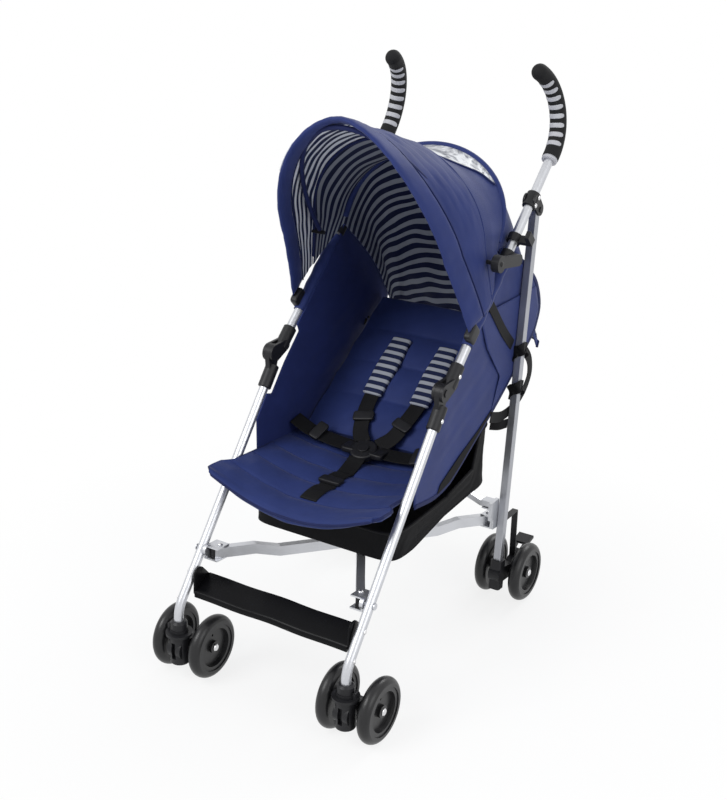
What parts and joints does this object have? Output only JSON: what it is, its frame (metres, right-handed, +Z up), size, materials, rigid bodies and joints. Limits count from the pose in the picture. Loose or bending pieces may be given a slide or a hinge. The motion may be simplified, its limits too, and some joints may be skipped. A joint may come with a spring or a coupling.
{
  "type": "umbrella stroller",
  "caption": "Umbrella-fold baby stroller with silver tube frame, curved grips, swivel casters, sling seat with harness, arched canopy, footrest and basket.",
  "frame": {"origin": "on the floor, at the middle of the bounding box", "axes": "+Z up; -Y is the way the child faces and the stroller rolls; +X is the child's left hand side, seen from the front at the right"},
  "size_m": [0.484, 0.7836, 1.0984],
  "materials": {
    "silver_tube": "satin silver paint on round tube",
    "silver_square": "satin silver square tube",
    "steel": "bright plated steel",
    "black_plastic": "satin black moulded plastic",
    "wheel_black": "smooth black moulded tyre and rim",
    "foam_grip": "black foam sleeve with light stripes",
    "footrest_black": "glossy black flexible sheet",
    "seat_fabric": "navy woven cloth, quilted",
    "canopy_fabric": "royal blue woven cloth, slightly glossy",
    "pad_fabric": "navy cloth with light stripes",
    "webbing": "black webbing",
    "basket_fabric": "black woven cloth"
  },
  "bodies": {
    "hub": {"brace_pivot_bolt": "steel", "basket": "basket_fabric"},
    "bar_a": {"brace_bar_a": "silver_square"},
    "bar_b": {"brace_bar_b": "silver_square"},
    "front_bracket_left": {"front_bracket_left": "black_plastic"},
    "rear_bracket_left": {"rear_bracket_left": "black_plastic"},
    "front_leg_left": {"front_leg_left": "silver_tube", "elbow_lower_left": "black_plastic", "caster_collar_left": "black_plastic"},
    "upper_left": {"upper_tube_left": "silver_tube", "elbow_upper_left": "black_plastic", "handle_grip_left": "foam_grip", "leg_clamp_left": "black_plastic", "canopy_clamp_left": "black_plastic"},
    "rear_leg_left": {"rear_leg_left": "silver_square", "rear_hub_left": "black_plastic", "rear_axle_left": "steel"},
    "lock_link_left": {"lock_link_left": "silver_square"},
    "caster_left": {"caster_yoke_left": "black_plastic", "front_axle_left": "steel"},
    "swivel_lock_left": {"swivel_lock_left": "black_plastic"},
    "brake_lever_left": {"brake_lever_left": "black_plastic"},
    "front_wheel_left_inner": {"front_wheel_left_inner": "wheel_black"},
    "rear_wheel_left_inner": {"rear_wheel_left_inner": "wheel_black"},
    "front_wheel_left_outer": {"front_wheel_left_outer": "wheel_black"},
    "rear_wheel_left_outer": {"rear_wheel_left_outer": "wheel_black"},
    "front_bracket_right": {"front_bracket_right": "black_plastic"},
    "rear_bracket_right": {"rear_bracket_right": "black_plastic"},
    "front_leg_right": {"front_leg_right": "silver_tube", "elbow_lower_right": "black_plastic", "caster_collar_right": "black_plastic"},
    "upper_right": {"upper_tube_right": "silver_tube", "elbow_upper_right": "black_plastic", "handle_grip_right": "foam_grip", "leg_clamp_right": "black_plastic", "canopy_clamp_right": "black_plastic"},
    "rear_leg_right": {"rear_leg_right": "silver_square", "rear_hub_right": "black_plastic", "rear_axle_right": "steel"},
    "lock_link_right": {"lock_link_right": "silver_square"},
    "caster_right": {"caster_yoke_right": "black_plastic", "front_axle_right": "steel"},
    "swivel_lock_right": {"swivel_lock_right": "black_plastic"},
    "brake_lever_right": {"brake_lever_right": "black_plastic"},
    "front_wheel_right_inner": {"front_wheel_right_inner": "wheel_black"},
    "rear_wheel_right_inner": {"rear_wheel_right_inner": "wheel_black"},
    "front_wheel_right_outer": {"front_wheel_right_outer": "wheel_black"},
    "rear_wheel_right_outer": {"rear_wheel_right_outer": "wheel_black"},
    "fold_hook": {"fold_hook": "black_plastic"},
    "seat": {"seat_pad": "seat_fabric", "side_panels": "seat_fabric", "footrest": "footrest_black", "harness_straps": "webbing", "buckle_housing": "black_plastic"},
    "buckle_button": {"buckle_button": "black_plastic"},
    "backrest": {"backrest_pad": "seat_fabric", "shoulder_pads": "pad_fabric"},
    "back_frame": {"canopy_rear": "canopy_fabric"},
    "canopy_front": {"canopy_front": "canopy_fabric", "canopy_bow_front": "steel"}
  },
  "joints": [
    {"name": "fold", "type": "hinge", "parent": "front_leg_left", "child": "upper_left", "pos_m": [-0.186, -0.06335, 0.56615], "axis": [1, 0, 0], "range_deg": [0, 165], "deforming": ["seat_pad", "side_panels", "footrest", "harness_straps", "buckle_housing", "buckle_button", "backrest_pad", "shoulder_pads", "canopy_rear", "canopy_front", "canopy_bow_front", "basket"]},
    {"name": "elbow_right", "type": "hinge", "parent": "front_leg_right", "child": "upper_right", "pos_m": [0.186, -0.06335, 0.56615], "axis": [1, 0, 0], "range_deg": [0, 165.5]},
    {"name": "brace_a", "type": "hinge", "parent": "hub", "child": "bar_a", "pos_m": [0, -0.03, 0.213], "axis": [0, 0.1011, 0.9949], "range_deg": [0, 24.5]},
    {"name": "brace_b", "type": "hinge", "parent": "hub", "child": "bar_b", "pos_m": [0, -0.03, 0.213], "axis": [0, 0.1011, 0.9949], "range_deg": [-24.5, 0]},
    {"name": "front_pin_left", "type": "hinge", "parent": "bar_a", "child": "front_bracket_left", "pos_m": [-0.156, -0.276, 0.238], "axis": [0, 0.1011, 0.9949], "range_deg": [-24.5, 0]},
    {"name": "front_pin_right", "type": "hinge", "parent": "bar_b", "child": "front_bracket_right", "pos_m": [0.156, -0.276, 0.238], "axis": [0, 0.1011, 0.9949], "range_deg": [0, 24.5]},
    {"name": "rear_pin_right", "type": "hinge", "parent": "bar_a", "child": "rear_bracket_right", "pos_m": [0.156, 0.216, 0.188], "axis": [0, 0.1011, 0.9949], "range_deg": [-24.5, 0]},
    {"name": "rear_pin_left", "type": "hinge", "parent": "bar_b", "child": "rear_bracket_left", "pos_m": [-0.156, 0.216, 0.188], "axis": [0, 0.1011, 0.9949], "range_deg": [0, 24.5]},
    {"name": "front_leg_pivot_left", "type": "hinge", "parent": "front_bracket_left", "child": "front_leg_left", "pos_m": [-0.186, -0.292, 0.24308], "axis": [1, 0, 0], "range_deg": [-55.68, 0]},
    {"name": "front_leg_pivot_right", "type": "hinge", "parent": "front_bracket_right", "child": "front_leg_right", "pos_m": [0.186, -0.292, 0.24308], "axis": [1, 0, 0], "range_deg": [-55.68, 0]},
    {"name": "rear_leg_pivot_left", "type": "hinge", "parent": "upper_left", "child": "rear_leg_left", "pos_m": [-0.186, 0.28446, 0.83189], "axis": [1, 0, 0], "range_deg": [-42.31, 0]},
    {"name": "rear_leg_pivot_right", "type": "hinge", "parent": "upper_right", "child": "rear_leg_right", "pos_m": [0.186, 0.28446, 0.83189], "axis": [1, 0, 0], "range_deg": [-42.31, 0]},
    {"name": "lock_pivot_left", "type": "hinge", "parent": "rear_bracket_left", "child": "lock_link_left", "pos_m": [-0.16, 0.206, 0.229], "axis": [0, 0, 1], "range_deg": [-73.81, 0]},
    {"name": "lock_pivot_right", "type": "hinge", "parent": "rear_bracket_right", "child": "lock_link_right", "pos_m": [0.16, 0.206, 0.229], "axis": [0, 0, 1], "range_deg": [0, 73.81]},
    {"name": "seat_fold", "type": "hinge", "parent": "hub", "child": "seat", "pos_m": [0, -0.30886, 0.28525], "axis": [1, 0, 0], "range_deg": [-55.68, 0]},
    {"name": "back_fold", "type": "hinge", "parent": "hub", "child": "back_frame", "pos_m": [0, 0.11244, 0.44912], "axis": [1, 0, 0], "range_deg": [0, 110.32]},
    {"name": "caster_swivel_left", "type": "hinge", "parent": "front_leg_left", "child": "caster_left", "pos_m": [-0.186, -0.366, 0.11], "axis": [0, 0, 1], "continuous": true},
    {"name": "swivel_lock_slide_left", "type": "slide", "parent": "caster_left", "child": "swivel_lock_left", "axis": [0, 0, 1], "range_m": [0, 0.006]},
    {"name": "brake_left", "type": "hinge", "parent": "rear_leg_left", "child": "brake_lever_left", "pos_m": [-0.186, 0.304, 0.082], "axis": [1, 0, 0], "range_deg": [-18, 0]},
    {"name": "front_wheel_spin_left_inner", "type": "hinge", "parent": "caster_left", "child": "front_wheel_left_inner", "pos_m": [-0.143, -0.325, 0.062], "axis": [1, 0, 0], "continuous": true},
    {"name": "front_wheel_spin_left_outer", "type": "hinge", "parent": "caster_left", "child": "front_wheel_left_outer", "pos_m": [-0.229, -0.325, 0.062], "axis": [1, 0, 0], "continuous": true},
    {"name": "rear_wheel_spin_left_inner", "type": "hinge", "parent": "rear_leg_left", "child": "rear_wheel_left_inner", "pos_m": [-0.147, 0.267, 0.062], "axis": [1, 0, 0], "continuous": true},
    {"name": "rear_wheel_spin_left_outer", "type": "hinge", "parent": "rear_leg_left", "child": "rear_wheel_left_outer", "pos_m": [-0.225, 0.267, 0.062], "axis": [1, 0, 0], "continuous": true},
    {"name": "caster_swivel_right", "type": "hinge", "parent": "front_leg_right", "child": "caster_right", "pos_m": [0.186, -0.366, 0.11], "axis": [0, 0, 1], "continuous": true},
    {"name": "swivel_lock_slide_right", "type": "slide", "parent": "caster_right", "child": "swivel_lock_right", "axis": [0, 0, 1], "range_m": [0, 0.006]},
    {"name": "brake_right", "type": "hinge", "parent": "rear_leg_right", "child": "brake_lever_right", "pos_m": [0.186, 0.304, 0.082], "axis": [1, 0, 0], "range_deg": [-18, 0]},
    {"name": "front_wheel_spin_right_inner", "type": "hinge", "parent": "caster_right", "child": "front_wheel_right_inner", "pos_m": [0.143, -0.325, 0.062], "axis": [1, 0, 0], "continuous": true},
    {"name": "front_wheel_spin_right_outer", "type": "hinge", "parent": "caster_right", "child": "front_wheel_right_outer", "pos_m": [0.229, -0.325, 0.062], "axis": [1, 0, 0], "continuous": true},
    {"name": "rear_wheel_spin_right_inner", "type": "hinge", "parent": "rear_leg_right", "child": "rear_wheel_right_inner", "pos_m": [0.147, 0.267, 0.062], "axis": [1, 0, 0], "continuous": true},
    {"name": "rear_wheel_spin_right_outer", "type": "hinge", "parent": "rear_leg_right", "child": "rear_wheel_right_outer", "pos_m": [0.225, 0.267, 0.062], "axis": [1, 0, 0], "continuous": true},
    {"name": "recline", "type": "hinge", "parent": "seat", "child": "backrest", "pos_m": [0, 0.0363, 0.385], "axis": [1, 0, 0], "range_deg": [0, 20]},
    {"name": "canopy_fold", "type": "hinge", "parent": "back_frame", "child": "canopy_front", "pos_m": [0, 0.08, 0.775], "axis": [1, 0, 0], "range_deg": [-45, 0], "deforming": ["canopy_front", "canopy_rear"]},
    {"name": "hook_swing", "type": "hinge", "parent": "upper_right", "child": "fold_hook", "pos_m": [0.186, 0.20115, 0.79053], "axis": [0, 0.728, 0.6856], "range_deg": [-20, 50]},
    {"name": "buckle_press", "type": "slide", "parent": "seat", "child": "buckle_button", "axis": [0, 0.309, -0.9511], "range_m": [0, 0.002], "stiffness_N_per_m": 400}
  ],
  "couplings": [
    {"joint": "elbow_right", "follows": "fold", "ratio": 1},
    {"joint": "brace_a", "follows": "fold", "ratio": 0.14546},
    {"joint": "brace_b", "follows": "fold", "ratio": -0.14546},
    {"joint": "front_pin_left", "follows": "fold", "ratio": -0.14546},
    {"joint": "front_pin_right", "follows": "fold", "ratio": 0.14546},
    {"joint": "rear_pin_right", "follows": "fold", "ratio": -0.14546},
    {"joint": "rear_pin_left", "follows": "fold", "ratio": 0.14546},
    {"joint": "front_leg_pivot_left", "follows": "fold", "ratio": -0.33445},
    {"joint": "front_leg_pivot_right", "follows": "fold", "ratio": -0.33445},
    {"joint": "rear_leg_pivot_left", "follows": "fold", "ratio": -0.2534},
    {"joint": "rear_leg_pivot_right", "follows": "fold", "ratio": -0.2534},
    {"joint": "lock_pivot_left", "follows": "fold", "ratio": -0.44433},
    {"joint": "lock_pivot_right", "follows": "fold", "ratio": 0.44433},
    {"joint": "seat_fold", "follows": "fold", "ratio": -0.33445},
    {"joint": "back_fold", "follows": "fold", "ratio": 0.66555}
  ]
}
